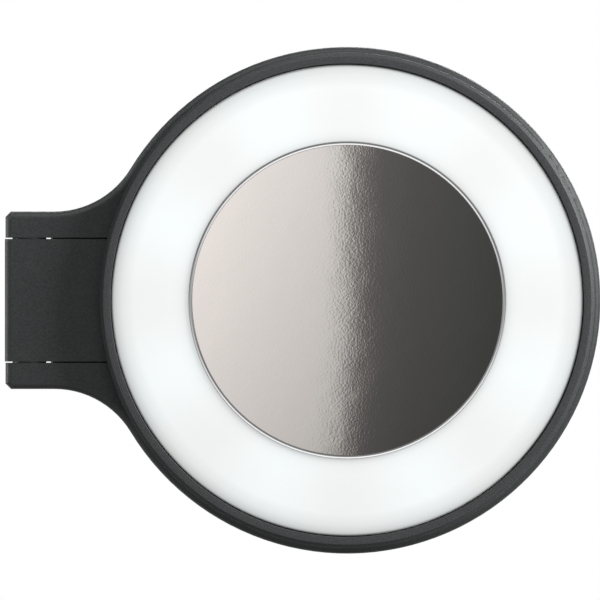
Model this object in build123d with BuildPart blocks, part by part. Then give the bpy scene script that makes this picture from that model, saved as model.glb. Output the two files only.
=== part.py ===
from build123d import *
import math
import os

# Extendable shaving mirror for a wall: a lit round mirror head on a sliding, swinging arm.
# Millimetres. +X right, +Z up, the wall is the plane Y = 0 and the front looks along -Y.
# The origin is the centre of the wall plate's back face. A "depth" is a distance from the wall.

# ---- driving dimensions ----
GAP = 0.8                # running gap between the layers
HINGE_GAP = 0.6          # gap between a hinge tongue and each ear, filled by a washer
HEAD_R = 115.0           # outer radius of the head shell
HEAD_TO_WALL_HINGE = 93.0
HEAD_TO_HEAD_HINGE = 144.25
EAR_TOP = 40.3           # half height over the fork ears, and of the rail
TONGUE_TOP = 27.8        # half height of the arm between the ears
EAR_BOTTOM = TONGUE_TOP + HINGE_GAP
EAR_REACH = 155.0        # from the head's centre to the end of the ears
TONGUE_REACH = 155.3
EAR_CHAMFER = 2.5
EAR_ROOT_R = 40.4        # large fillet where an ear runs into the round shell
EDGE_R = 3.2             # soft outer edge of the coated castings

PLATE_W = 100.0
PLATE_H = 80.0
PLATE_T = 6.0
RAIL_T = 12.0
RAIL_BACK = 18.0
RAIL_FRONT = RAIL_BACK + RAIL_T
SHELL_BACK = RAIL_FRONT + GAP
SHELL_T = 15.0
SHELL_FRONT = SHELL_BACK + SHELL_T
TRAY_BACK = SHELL_FRONT + GAP

WALL_HINGE_X = PLATE_W / 2 - 5.0
WALL_HINGE_DEPTH = RAIL_BACK + RAIL_T / 2
HEAD_X = WALL_HINGE_X - HEAD_TO_WALL_HINGE
HEAD_HINGE_X = HEAD_X - HEAD_TO_HEAD_HINGE
HEAD_HINGE_DEPTH = SHELL_BACK + SHELL_T / 2

PIN_R = 2.5
PIN_RUN = 0.05           # radial running clearance of a hinge pin in its bushes
BUSH_R = 4.0
BUSH_L = 12.0
SINK_R = 4.8             # counterbore for the nut or the pin's head
SINK_L = 6.6
CAP_T = 1.5
HEAD_WASHER_R = 7.7
WALL_WASHER_R = 5.7

BEZEL_R = 112.0
BEZEL_IN = 107.1
BEZEL_FRONT = 59.6
DIFFUSER_R = 106.2
DIFFUSER_IN = 71.8
DIFFUSER_FRONT = 59.2
DIFFUSER_T = 3.0
TRIM_R = 71.6
GLASS_R = 70.2
GLASS_BACK = 55.4
GLASS_EDGE = 59.8
GLASS_CENTRE = 57.1
TRIM_FRONT = 60.4

RAIL_END = HEAD_HINGE_X + 9.5
SLIDER_RIGHT = HEAD_X + 80.0
SLOT_RIGHT = HEAD_X + 72.0
RUNNER_L = 90.0
RUNNER_RIGHT = SLOT_RIGHT - 1.0
SLOT_MOUTH = 14.0
SLOT_W = 24.0
SLOT_LIP = 3.0
SLOT_DEEP = 7.6

COVER_R = 110.5
POCKET_R = 108.5
COVER_T = 2.0
POCKET_Z = 32.5
COVER_Z = 30.4
FRONT_WALL = 2.0
COVER_FIT = 0.2
COVER_SCREWS = [(x, z) for x, z in ((58, 84), (-58, 84), (92, 42), (-92, 42))]

BUTTON_Z = -72.0
BUTTON_R = 6.0
BOARD_DEPTH = 40.6
TRAY_SCREW_R = 101.0
TRAY_SCREW_ANGLES = (45, 90, 135, 225, 270, 315)

os.makedirs("parts", exist_ok=True)


def front(depth, x=0.0):
    """The plane at a depth from the wall, seen from the front: local x is +X, local y is +Z."""
    return Plane(origin=(x, -depth, 0), x_dir=(1, 0, 0), z_dir=(0, -1, 0))


def level(z, x=0.0, depth=0.0):
    """A horizontal plane at height z: local x is +X, local y is +Y, towards the wall."""
    return Plane(origin=(x, -depth, z), x_dir=(1, 0, 0), z_dir=(0, 0, 1))


# Half section of the head for turned pieces: local x is the radius and local y the depth.
HEAD_SECTION = Plane(origin=(HEAD_X, 0, 0), x_dir=(1, 0, 0), z_dir=(0, 0, -1))
HEAD_AXIS = Axis((HEAD_X, 0, 0), (0, -1, 0))


def save(builder, name):
    """Labels a finished sub-part and writes its STEP file."""
    builder.part.label = name
    export_step(builder.part, f"parts/{name}.step")


def at_depth(part, depth):
    """The edges of a part that lie wholly in the plane at one depth."""
    return part.edges().filter_by_position(Axis.Y, -depth - 0.01, -depth + 0.01)


# ================= mirror head, front =================

with BuildPart() as mirror_glass:
    with BuildSketch(HEAD_SECTION):
        with BuildLine():
            Line((0, GLASS_BACK), (GLASS_R, GLASS_BACK))
            Line((GLASS_R, GLASS_BACK), (GLASS_R, GLASS_EDGE))
            ball_r = (GLASS_R**2 / (GLASS_EDGE - GLASS_CENTRE) + GLASS_EDGE - GLASS_CENTRE) / 2
            half_drop = ball_r - math.sqrt(ball_r**2 - (GLASS_R / 2) ** 2)
            middle = (GLASS_R / 2, GLASS_CENTRE + half_drop)
            ThreePointArc((GLASS_R, GLASS_EDGE), middle, (0, GLASS_CENTRE))
            Line((0, GLASS_CENTRE), (0, GLASS_BACK))
        make_face()
    revolve(axis=HEAD_AXIS)
save(mirror_glass, "mirror_glass")

with BuildPart() as mirror_trim_ring:
    with BuildSketch(front(GLASS_BACK, HEAD_X)):
        Circle(TRIM_R)
        Circle(GLASS_R + 0.1, mode=Mode.SUBTRACT)
    extrude(amount=TRIM_FRONT - GLASS_BACK)
    chamfer(at_depth(mirror_trim_ring.part, TRIM_FRONT).sort_by(SortBy.LENGTH)[0], length=0.6)
    fillet(at_depth(mirror_trim_ring.part, TRIM_FRONT).sort_by(SortBy.LENGTH)[-1], radius=0.4)
save(mirror_trim_ring, "mirror_trim_ring")

CARRIER_T = 2.4
TRAY_T = 1.5
TRAY_FLOOR = TRAY_BACK + TRAY_T

with BuildPart() as mirror_carrier:
    with BuildSketch(front(GLASS_BACK - CARRIER_T, HEAD_X)):
        Circle(TRIM_R)
    extrude(amount=CARRIER_T)
    with BuildSketch(front(TRAY_FLOOR, HEAD_X)):
        with PolarLocations(52, 6):
            Circle(4)
    extrude(amount=GLASS_BACK - CARRIER_T - TRAY_FLOOR)
save(mirror_carrier, "mirror_carrier")

with BuildPart() as diffuser_ring:
    shoulder_r = 5.5
    with BuildSketch(HEAD_SECTION):
        with BuildLine():
            back = DIFFUSER_FRONT - DIFFUSER_T
            flat_end = DIFFUSER_R - shoulder_r
            drop = 1.5
            Line((DIFFUSER_IN, back), (DIFFUSER_R, back))
            Line((DIFFUSER_R, back), (DIFFUSER_R, DIFFUSER_FRONT - drop))
            bend = (flat_end + 0.62 * shoulder_r, DIFFUSER_FRONT - 0.36 * drop)
            ThreePointArc((DIFFUSER_R, DIFFUSER_FRONT - drop), bend, (flat_end, DIFFUSER_FRONT))
            Line((flat_end, DIFFUSER_FRONT), (DIFFUSER_IN, DIFFUSER_FRONT))
            Line((DIFFUSER_IN, DIFFUSER_FRONT), (DIFFUSER_IN, back))
        make_face()
    revolve(axis=HEAD_AXIS)
save(diffuser_ring, "diffuser_ring")

BEZEL_WALL = 1.6
LIP_DEPTH = 57.4

with BuildPart() as bezel_ring:
    with BuildSketch(front(TRAY_BACK, HEAD_X)):
        Circle(BEZEL_R)
        Circle(BEZEL_R - BEZEL_WALL, mode=Mode.SUBTRACT)
    extrude(amount=BEZEL_FRONT - TRAY_BACK)
    with BuildSketch(front(BEZEL_FRONT - BEZEL_WALL, HEAD_X)):
        Circle(BEZEL_R)
        Circle(BEZEL_IN, mode=Mode.SUBTRACT)
    extrude(amount=BEZEL_WALL)
    with BuildSketch(front(LIP_DEPTH, HEAD_X)):
        Circle(BEZEL_IN + 1.4)
        Circle(BEZEL_IN, mode=Mode.SUBTRACT)
    extrude(amount=BEZEL_FRONT - LIP_DEPTH)
    chamfer(at_depth(bezel_ring.part, BEZEL_FRONT).sort_by(SortBy.LENGTH)[-1], length=1.5)
    fillet(at_depth(bezel_ring.part, BEZEL_FRONT).sort_by(SortBy.LENGTH)[0], radius=0.3)
save(bezel_ring, "bezel_ring")

with BuildPart() as reflector_tray:
    with BuildSketch(front(TRAY_BACK, HEAD_X)):
        Circle(BEZEL_R - BEZEL_WALL - COVER_FIT)
    extrude(amount=TRAY_T)
    wall_top = DIFFUSER_FRONT - DIFFUSER_T
    with BuildSketch(front(TRAY_FLOOR, HEAD_X)):
        Circle(DIFFUSER_R + 0.4)
        Circle(DIFFUSER_R - 1.6, mode=Mode.SUBTRACT)
        Circle(DIFFUSER_IN + 2.6)
        Circle(DIFFUSER_IN + 0.8, mode=Mode.SUBTRACT)
    extrude(amount=wall_top - TRAY_FLOOR)
    with BuildSketch(front(TRAY_BACK, HEAD_X)):
        for angle in TRAY_SCREW_ANGLES:
            with PolarLocations(TRAY_SCREW_R, 1, start_angle=angle):
                Circle(1.3)
    extrude(amount=TRAY_T, mode=Mode.SUBTRACT)
save(reflector_tray, "reflector_tray")

BOARD_T = 1.0
LED_RING_R = 89.0
LED_COUNT = 8

with BuildPart() as led_board:
    with BuildSketch(front(TRAY_FLOOR, HEAD_X)):
        Circle(LED_RING_R + 6)
        Circle(LED_RING_R - 6, mode=Mode.SUBTRACT)
    extrude(amount=BOARD_T)
save(led_board, "led_board")

with BuildPart() as leds:
    with BuildSketch(front(TRAY_FLOOR + BOARD_T, HEAD_X)):
        with PolarLocations(LED_RING_R, LED_COUNT, start_angle=180 / LED_COUNT):
            RectangleRounded(5.0, 5.0, 0.3)
    extrude(amount=1.6)
save(leds, "leds")

with BuildPart() as tray_screws:
    for angle in TRAY_SCREW_ANGLES:
        with BuildSketch(front(SHELL_FRONT - 1.4, HEAD_X)):
            with PolarLocations(TRAY_SCREW_R, 1, start_angle=angle):
                Circle(1.1)
        extrude(amount=TRAY_FLOOR - SHELL_FRONT + 1.4)
        with BuildSketch(front(TRAY_FLOOR, HEAD_X)):
            with PolarLocations(TRAY_SCREW_R, 1, start_angle=angle):
                Circle(2.2)
        extrude(amount=1.4)
save(tray_screws, "tray_screws")

# ================= mirror head, rear =================

CHANNEL_RIGHT = 83.2
PORT_W = 9.4
PORT_T = 3.8
PORT_DEPTH = SHELL_BACK + SHELL_T / 2


def chamber(radius, floor_z, side, clearance=0.0):
    """Sketch of one D-shaped chamber above (side 1) or below (side -1) the arm channel."""
    Circle(radius - clearance)
    cut_top = floor_z + clearance
    with Locations((0, side * (cut_top - 2 * HEAD_R))):
        Rectangle(4 * HEAD_R, 4 * HEAD_R, mode=Mode.SUBTRACT)


with BuildPart() as head_shell:
    with BuildSketch(front(SHELL_BACK, HEAD_X)) as shell_outline:
        Circle(HEAD_R)
        Rectangle(EAR_REACH, 2 * EAR_TOP, align=(Align.MAX, Align.CENTER))
        ear_roots = shell_outline.vertices().filter_by_position(Axis.X, -HEAD_R, -20)
        fillet(ear_roots, radius=EAR_ROOT_R)
        ear_corners = shell_outline.vertices().sort_by(Axis.X)[:2]
        chamfer(ear_corners, length=EAR_CHAMFER)
    extrude(amount=SHELL_T)
    fillet(at_depth(head_shell.part, SHELL_FRONT), radius=EDGE_R)
    fillet(at_depth(head_shell.part, SHELL_BACK), radius=EDGE_R)
    # raised lands that carry the tray, clear of the arm
    with BuildSketch(front(SHELL_FRONT, HEAD_X)):
        for side in (1, -1):
            with BuildSketch(mode=Mode.PRIVATE) as land:
                chamber(BEZEL_R - BEZEL_WALL, EAR_BOTTOM, side)
            add(land.sketch)
    extrude(amount=GAP)
    # the channel that the folded arm lies in, open to the left
    with BuildSketch(front(SHELL_BACK, HEAD_X)):
        with Locations((CHANNEL_RIGHT, 0)):
            Rectangle(2 * HEAD_R + EAR_REACH, 2 * EAR_BOTTOM, align=(Align.MAX, Align.CENTER))
    extrude(amount=SHELL_T + GAP, mode=Mode.SUBTRACT)
    # the two chambers, with a step for their covers
    for side in (1, -1):
        with BuildSketch(front(SHELL_BACK, HEAD_X)):
            chamber(COVER_R, COVER_Z, side)
        extrude(amount=COVER_T, mode=Mode.SUBTRACT)
        with BuildSketch(front(SHELL_BACK + COVER_T, HEAD_X)):
            chamber(POCKET_R, POCKET_Z, side)
        extrude(amount=SHELL_T - COVER_T - FRONT_WALL, mode=Mode.SUBTRACT)
        with BuildSketch(front(SHELL_BACK + COVER_T, HEAD_X)):
            with Locations(*[(x, side * z) for x, z in COVER_SCREWS]):
                Circle(3.4)
        extrude(amount=SHELL_T - COVER_T - FRONT_WALL)
        with BuildSketch(front(SHELL_BACK + COVER_T, HEAD_X)):
            with Locations(*[(x, side * z) for x, z in COVER_SCREWS]):
                Circle(1.25)
        extrude(amount=8, mode=Mode.SUBTRACT)
        # hinge bore and counterbore in each ear
        with BuildSketch(level(side * EAR_BOTTOM, HEAD_HINGE_X, HEAD_HINGE_DEPTH)):
            Circle(PIN_R + 0.02)
        extrude(amount=side * (EAR_TOP - EAR_BOTTOM), mode=Mode.SUBTRACT)
        with BuildSketch(level(side * EAR_TOP, HEAD_HINGE_X, HEAD_HINGE_DEPTH)):
            Circle(SINK_R)
        extrude(amount=-side * SINK_L, mode=Mode.SUBTRACT)
    # pilot holes for the tray screws
    with BuildSketch(front(SHELL_FRONT - FRONT_WALL, HEAD_X)):
        for angle in TRAY_SCREW_ANGLES:
            with PolarLocations(TRAY_SCREW_R, 1, start_angle=angle):
                Circle(1.1)
    extrude(amount=FRONT_WALL + GAP, mode=Mode.SUBTRACT)
    # slot in the rim for the charging socket
    with BuildSketch(level(-HEAD_R - 1, HEAD_X, PORT_DEPTH)):
        RectangleRounded(PORT_W, PORT_T, PORT_T / 2 - 0.05)
    extrude(amount=HEAD_R - POCKET_R + 3, mode=Mode.SUBTRACT)
save(head_shell, "head_shell")

cover_names = {1: "upper_back_cover", -1: "lower_back_cover"}
for side, cover_name in cover_names.items():
    with BuildPart() as back_cover:
        with BuildSketch(front(SHELL_BACK, HEAD_X)):
            chamber(COVER_R, COVER_Z, side, COVER_FIT)
        extrude(amount=COVER_T)
        with Locations(front(SHELL_BACK, HEAD_X)):
            with Locations(Location((0, 0, 0), (180, 0, 0))):
                with Locations(*[(x, -side * z) for x, z in COVER_SCREWS]):
                    CounterSinkHole(1.4, 2.6, COVER_T, counter_sink_angle=90)
        if side == -1:
            with BuildSketch(front(SHELL_BACK, HEAD_X)):
                with Locations((0, BUTTON_Z)):
                    Circle(BUTTON_R + 0.2)
            extrude(amount=COVER_T, mode=Mode.SUBTRACT)
    save(back_cover, cover_name)

with BuildPart() as cover_screws:
    for side in (1, -1):
        with BuildSketch(front(SHELL_BACK + 0.1, HEAD_X)):
            with Locations(*[(x, side * z) for x, z in COVER_SCREWS]):
                Circle(2.4)
        extrude(amount=1.15, taper=45)
        with BuildSketch(front(SHELL_BACK + 0.1, HEAD_X)):
            with Locations(*[(x, side * z) for x, z in COVER_SCREWS]):
                Circle(1.22)
        extrude(amount=8)
    with BuildSketch(front(SHELL_BACK + 0.1, HEAD_X)):
        with Locations(*[(x, side * z) for x, z in COVER_SCREWS for side in (1, -1)]):
            RectangleRounded(2.6, 0.5, 0.1)
            RectangleRounded(0.5, 2.6, 0.1)
    extrude(amount=0.7, mode=Mode.SUBTRACT)
save(cover_screws, "cover_screws")

with BuildPart() as battery_pack:
    with BuildSketch(front(SHELL_BACK + COVER_T + 1.2, HEAD_X)):
        with Locations((0, 62)):
            RectangleRounded(96, 44, 4)
    extrude(amount=8.4)
    fillet(battery_pack.edges().filter_by(GeomType.LINE).group_by(Axis.Y)[0], radius=0.8)
save(battery_pack, "battery_pack")

with BuildPart() as control_board:
    with BuildSketch(front(BOARD_DEPTH, HEAD_X)):
        with Locations((0, -74)):
            Rectangle(84, 46)
    extrude(amount=1.6)
    # chips on the side that faces the back cover
    with BuildSketch(front(BOARD_DEPTH, HEAD_X)):
        with Locations((-25, -62)):
            Rectangle(9, 9)
        with Locations((24, -64), (24, -80)):
            Rectangle(6, 5)
        with Locations((-28, -84), (-18, -84)):
            Rectangle(4, 7)
    extrude(amount=-1.6)
save(control_board, "control_board")

SWITCH_T = 3.5

with BuildPart() as button_switch:
    with BuildSketch(front(BOARD_DEPTH - SWITCH_T + 0.8, HEAD_X)):
        with Locations((0, BUTTON_Z)):
            Rectangle(6, 6)
    extrude(amount=SWITCH_T - 0.8)
    with BuildSketch(front(BOARD_DEPTH - SWITCH_T, HEAD_X)):
        with Locations((0, BUTTON_Z)):
            Circle(1.7)
    extrude(amount=0.8)
save(button_switch, "button_switch")

BUTTON_PROUD = 1.5
BUTTON_TRAVEL = 1.0
FLANGE_T = 1.2
FLANGE_BACK = SHELL_BACK + COVER_T + 0.05
PLUNGER_TIP = BOARD_DEPTH - SWITCH_T - BUTTON_TRAVEL - 0.1

with BuildPart() as power_button:
    with BuildSketch(front(SHELL_BACK - BUTTON_PROUD, HEAD_X)):
        with Locations((0, BUTTON_Z)):
            Circle(BUTTON_R)
    extrude(amount=BUTTON_PROUD + COVER_T + 0.05)
    fillet(at_depth(power_button.part, SHELL_BACK - BUTTON_PROUD), radius=0.5)
    with BuildSketch(front(FLANGE_BACK, HEAD_X)):
        with Locations((0, BUTTON_Z)):
            Circle(BUTTON_R + 1.8)
    extrude(amount=FLANGE_T)
    with BuildSketch(front(FLANGE_BACK + FLANGE_T, HEAD_X)):
        with Locations((0, BUTTON_Z)):
            Circle(2)
    extrude(amount=PLUNGER_TIP - FLANGE_BACK - FLANGE_T)
save(power_button, "power_button")

SPRING_R = 5.6
SPRING_WIRE_R = 0.3
SPRING_TURNS = 3
spring_start = FLANGE_BACK + FLANGE_T + SPRING_WIRE_R + 0.05
spring_length = BOARD_DEPTH - spring_start - SPRING_WIRE_R - 0.05

with BuildPart() as button_spring:
    with BuildLine() as coil:
        Helix(
            pitch=spring_length / SPRING_TURNS,
            height=spring_length,
            radius=SPRING_R,
            center=(HEAD_X, -spring_start, BUTTON_Z),
            direction=(0, -1, 0),
        )
    with BuildSketch(Plane(origin=coil.line @ 0, z_dir=coil.line % 0)):
        Circle(SPRING_WIRE_R)
    sweep(is_frenet=True)
save(button_spring, "button_spring")

with BuildPart() as charge_port:
    with BuildSketch(level(-HEAD_R + 0.8, HEAD_X, PORT_DEPTH)):
        RectangleRounded(9.0, 3.3, 1.6)
        RectangleRounded(8.4, 2.7, 1.3, mode=Mode.SUBTRACT)
    extrude(amount=7.0)
    with BuildSketch(level(-HEAD_R + 7.0, HEAD_X, PORT_DEPTH)):
        RectangleRounded(9.0, 3.3, 1.6)
    extrude(amount=0.8)
    with BuildSketch(level(-HEAD_R + 1.6, HEAD_X, PORT_DEPTH)):
        Rectangle(6.6, 0.7)
    extrude(amount=5.6)
save(charge_port, "charge_port")

# ================= hinge hardware =================


def hinge_set(prefix, x, depth, washer_r):
    """The pin, nut, disc springs, caps, washers and bushes of one upright friction hinge."""
    web = EAR_TOP - SINK_L
    springs_top = web + 1.2
    nut_top = springs_top + 3.2

    with BuildPart() as pin:
        with BuildSketch(level(-web - 2.5, x, depth)):
            Circle(SINK_R - 0.4)
        extrude(amount=2.5)
        with BuildSketch(level(-web, x, depth)):
            Circle(PIN_R)
        extrude(amount=web + nut_top + 0.4)
        chamfer(pin.edges().sort_by(Axis.Z)[-1], length=0.4)
        chamfer(pin.edges().sort_by(Axis.Z)[0], length=0.3)
    save(pin, f"{prefix}_hinge_pin")

    with BuildPart() as springs:
        for step in range(2):
            with BuildSketch(level(web + 0.6 * step, x, depth)):
                Circle(SINK_R - 0.3)
                Circle(PIN_R + 0.1, mode=Mode.SUBTRACT)
            extrude(amount=0.55)
    save(springs, f"{prefix}_disc_springs")

    with BuildPart() as nut:
        with BuildSketch(level(springs_top, x, depth)):
            RegularPolygon(4.55, 6)
            Circle(PIN_R + 0.02, mode=Mode.SUBTRACT)
        extrude(amount=3.2)
    save(nut, f"{prefix}_hinge_nut")

    with BuildPart() as caps:
        for side in (1, -1):
            with BuildSketch(level(side * EAR_TOP, x, depth)):
                Circle(SINK_R - 0.03)
            extrude(amount=-side * CAP_T)
    save(caps, f"{prefix}_hinge_caps")

    with BuildPart() as washers:
        for side in (1, -1):
            with BuildSketch(level(side * (TONGUE_TOP + 0.05), x, depth)):
                Circle(washer_r)
                Circle(PIN_R + 0.1, mode=Mode.SUBTRACT)
            extrude(amount=side * (HINGE_GAP - 0.1))
    save(washers, f"{prefix}_hinge_washers")

    with BuildPart() as bushes:
        for side in (1, -1):
            with BuildSketch(level(side * TONGUE_TOP, x, depth)):
                Circle(BUSH_R)
                Circle(PIN_R + PIN_RUN, mode=Mode.SUBTRACT)
            extrude(amount=-side * BUSH_L)
    save(bushes, f"{prefix}_hinge_bushes")


hinge_set("head", HEAD_HINGE_X, HEAD_HINGE_DEPTH, HEAD_WASHER_R)
hinge_set("wall", WALL_HINGE_X, WALL_HINGE_DEPTH, WALL_WASHER_R)


def tongue_bore(x, depth):
    """The solid to cut from a tongue: two bush seats and the pin's relief between them."""
    with BuildPart() as bore:
        for side in (1, -1):
            with BuildSketch(level(side * TONGUE_TOP, x, depth)):
                Circle(BUSH_R)
            extrude(amount=-side * BUSH_L)
        with BuildSketch(level(-TONGUE_TOP, x, depth)):
            Circle(PIN_R + 0.6)
        extrude(amount=2 * TONGUE_TOP)
    return bore.part


head_bore = tongue_bore(HEAD_HINGE_X, HEAD_HINGE_DEPTH)
wall_bore = tongue_bore(WALL_HINGE_X, WALL_HINGE_DEPTH)

# ================= arm =================

SLIDER_LEFT = HEAD_X - TONGUE_REACH
SLIDER_WALL = 2.5
HOLLOW_LEFT = SLIDER_LEFT + 27.0
SLIDER_L = SLIDER_RIGHT - SLIDER_LEFT
RUNNER_SCREW_X = [RUNNER_RIGHT - RUNNER_L / 2 + step * 26 for step in (-1.5, -0.5, 0.5, 1.5)]

with BuildPart() as arm_slider:
    with BuildSketch(front(SHELL_BACK, SLIDER_LEFT)):
        Rectangle(SLIDER_L, 2 * TONGUE_TOP, align=(Align.MIN, Align.CENTER))
    extrude(amount=SHELL_T)
    end_edges = arm_slider.edges().filter_by(Axis.Z).sort_by(Axis.X)[:2]
    fillet(end_edges, radius=EDGE_R)
    with BuildSketch(front(SHELL_BACK + SLIDER_WALL, HOLLOW_LEFT)):
        hollow_h = 2 * (TONGUE_TOP - SLIDER_WALL)
        Rectangle(SLIDER_RIGHT - HOLLOW_LEFT, hollow_h, align=(Align.MIN, Align.CENTER))
    extrude(amount=SHELL_T - 2 * SLIDER_WALL, mode=Mode.SUBTRACT)
    add(head_bore, mode=Mode.SUBTRACT)
    with BuildSketch(front(SHELL_BACK)):
        with Locations(*[(x, 0) for x in RUNNER_SCREW_X]):
            Circle(2.0)
    extrude(amount=SLIDER_WALL, mode=Mode.SUBTRACT)
save(arm_slider, "arm_slider")

with BuildPart() as slider_end_cap:
    plug_h = 2 * (TONGUE_TOP - SLIDER_WALL) - 0.2
    plug_t = SHELL_T - 2 * SLIDER_WALL - 0.2
    end_plane = Plane(
        origin=(SLIDER_RIGHT, -SHELL_BACK - SHELL_T / 2, 0), x_dir=(0, 1, 0), z_dir=(1, 0, 0)
    )
    with BuildSketch(end_plane):
        Rectangle(SHELL_T, 2 * TONGUE_TOP)
    extrude(amount=1.5)
    with BuildSketch(end_plane):
        Rectangle(plug_t, plug_h)
    extrude(amount=-5)
save(slider_end_cap, "slider_end_cap")

NECK_W = SLOT_MOUTH - 0.6
HEAD_W = SLOT_W - 0.6
RUNNER_BACK = RAIL_FRONT - SLOT_DEEP + 0.2
RUNNER_STEP = RAIL_FRONT - SLOT_LIP - 0.2

with BuildPart() as slider_runner:
    with BuildSketch(front(RUNNER_STEP, RUNNER_RIGHT)):
        Rectangle(RUNNER_L, NECK_W, align=(Align.MAX, Align.CENTER))
    extrude(amount=SHELL_BACK - RUNNER_STEP)
    with BuildSketch(front(RUNNER_BACK, RUNNER_RIGHT)):
        Rectangle(RUNNER_L, HEAD_W, align=(Align.MAX, Align.CENTER))
    extrude(amount=RUNNER_STEP - RUNNER_BACK)
    with BuildSketch(front(RUNNER_BACK)):
        with Locations(*[(x, 0) for x in RUNNER_SCREW_X]):
            Circle(2.1)
    extrude(amount=SHELL_BACK - RUNNER_BACK, mode=Mode.SUBTRACT)
    with BuildSketch(front(RUNNER_BACK)):
        with Locations(*[(x, 0) for x in RUNNER_SCREW_X]):
            Circle(4.0)
    extrude(amount=3.2, mode=Mode.SUBTRACT)
save(slider_runner, "slider_runner")

with BuildPart() as runner_screws:
    with BuildSketch(front(RUNNER_BACK + 0.5)):
        with Locations(*[(x, 0) for x in RUNNER_SCREW_X]):
            Circle(3.5)
            RegularPolygon(1.4, 6, mode=Mode.SUBTRACT)
    extrude(amount=1.5)
    with BuildSketch(front(RUNNER_BACK + 2.0)):
        with Locations(*[(x, 0) for x in RUNNER_SCREW_X]):
            Circle(3.5)
    extrude(amount=1.2)
    with BuildSketch(front(RUNNER_BACK + 3.2)):
        with Locations(*[(x, 0) for x in RUNNER_SCREW_X]):
            Circle(1.95)
    extrude(amount=SHELL_BACK + SLIDER_WALL + 1.0 - RUNNER_BACK - 3.2)
save(runner_screws, "runner_screws")

with BuildPart() as glide_strips:
    with BuildSketch(front(RAIL_FRONT + 0.1, RUNNER_RIGHT - RUNNER_L / 2)):
        with Locations((0, 19), (0, -19)):
            RectangleRounded(RUNNER_L, 6, 2.9)
    extrude(amount=GAP - 0.1)
save(glide_strips, "glide_strips")

RAIL_STEP_X = WALL_HINGE_X - 7.4

with BuildPart() as arm_rail:
    with BuildSketch(front(RAIL_BACK, RAIL_END)) as rail_face:
        Rectangle(RAIL_STEP_X - RAIL_END, 2 * EAR_TOP, align=(Align.MIN, Align.CENTER))
        chamfer(rail_face.vertices().sort_by(Axis.X)[:2], length=EAR_CHAMFER)
    extrude(amount=RAIL_T)
    chamfer(at_depth(arm_rail.part, RAIL_FRONT), length=0.8)
    chamfer(at_depth(arm_rail.part, RAIL_BACK), length=0.8)
    with BuildSketch(level(-TONGUE_TOP, WALL_HINGE_X, WALL_HINGE_DEPTH)):
        Circle(RAIL_T / 2)
        Rectangle(10.0, RAIL_T, align=(Align.MAX, Align.CENTER))
    extrude(amount=2 * TONGUE_TOP)
    with BuildSketch(front(RAIL_FRONT - SLOT_LIP)):
        with Locations((SLOT_RIGHT, 0)):
            Rectangle(2 * HEAD_R + 100, SLOT_MOUTH, align=(Align.MAX, Align.CENTER))
    extrude(amount=SLOT_LIP, mode=Mode.SUBTRACT)
    with BuildSketch(front(RAIL_FRONT - SLOT_DEEP)):
        with Locations((SLOT_RIGHT, 0)):
            Rectangle(2 * HEAD_R + 100, SLOT_W, align=(Align.MAX, Align.CENTER))
    extrude(amount=SLOT_DEEP - SLOT_LIP, mode=Mode.SUBTRACT)
    add(wall_bore, mode=Mode.SUBTRACT)
save(arm_rail, "arm_rail")

with BuildPart() as rail_end_stop:
    with BuildSketch(front(RAIL_FRONT - SLOT_DEEP + 0.1, RAIL_END)):
        Rectangle(4.6, SLOT_W - 0.2, align=(Align.MIN, Align.CENTER))
    extrude(amount=SLOT_DEEP - SLOT_LIP - 0.2)
    with BuildSketch(front(RAIL_FRONT - SLOT_LIP - 0.1, RAIL_END)):
        Rectangle(4.6, SLOT_MOUTH - 0.2, align=(Align.MIN, Align.CENTER))
    extrude(amount=SLOT_LIP)
save(rail_end_stop, "rail_end_stop")

# ================= wall side =================

WALL_HOLE_R = 2.75
WALL_HOLE_X = (-38.0, 20.0)
WALL_HOLE_Z = 28.0
BRACKET_BASE_T = 6.0
BRACKET_SCREWS = [(41.0, z) for z in (-32.0, -11.0, 11.0, 32.0)]

with BuildPart() as wall_plate:
    with BuildSketch(front(0)):
        RectangleRounded(PLATE_W, PLATE_H, 8)
    extrude(amount=PLATE_T)
    fillet(at_depth(wall_plate.part, PLATE_T), radius=1.2)
    with BuildSketch(front(0)):
        with Locations(*[(x, side * WALL_HOLE_Z) for x in WALL_HOLE_X for side in (1, -1)]):
            Circle(WALL_HOLE_R)
        with Locations(*BRACKET_SCREWS):
            Circle(2.1)
    extrude(amount=PLATE_T, mode=Mode.SUBTRACT)
    with BuildSketch(front(0)):
        with Locations(*BRACKET_SCREWS):
            Circle(3.8)
    extrude(amount=2.6, mode=Mode.SUBTRACT)
save(wall_plate, "wall_plate")

EAR_HALF = 6.2

with BuildPart() as hinge_bracket:
    with BuildSketch(front(PLATE_T)):
        with Locations((30.0, 0)):
            Rectangle(WALL_HINGE_X + EAR_HALF - 30.0 - 1.2, 2 * EAR_TOP - 2, align=(Align.MIN, Align.CENTER))
    extrude(amount=BRACKET_BASE_T)
    chamfer(hinge_bracket.edges().filter_by(Axis.Z).group_by(Axis.Y)[0], length=1.0)
    for side in (1, -1):
        with BuildSketch(level(side * EAR_BOTTOM, WALL_HINGE_X, WALL_HINGE_DEPTH)):
            Circle(EAR_HALF)
            ear_back = WALL_HINGE_DEPTH - PLATE_T - 1.0
            Rectangle(2 * EAR_HALF, ear_back, align=(Align.CENTER, Align.MIN))
        extrude(amount=side * (EAR_TOP - EAR_BOTTOM))
        with BuildSketch(level(side * EAR_BOTTOM, WALL_HINGE_X, WALL_HINGE_DEPTH)):
            Circle(PIN_R + 0.02)
        extrude(amount=side * (EAR_TOP - EAR_BOTTOM), mode=Mode.SUBTRACT)
        with BuildSketch(level(side * EAR_TOP, WALL_HINGE_X, WALL_HINGE_DEPTH)):
            Circle(SINK_R)
        extrude(amount=-side * SINK_L, mode=Mode.SUBTRACT)
    with BuildSketch(front(PLATE_T)):
        with Locations(*BRACKET_SCREWS):
            Circle(1.95)
    extrude(amount=BRACKET_BASE_T - 1.0, mode=Mode.SUBTRACT)
save(hinge_bracket, "hinge_bracket")

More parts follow.
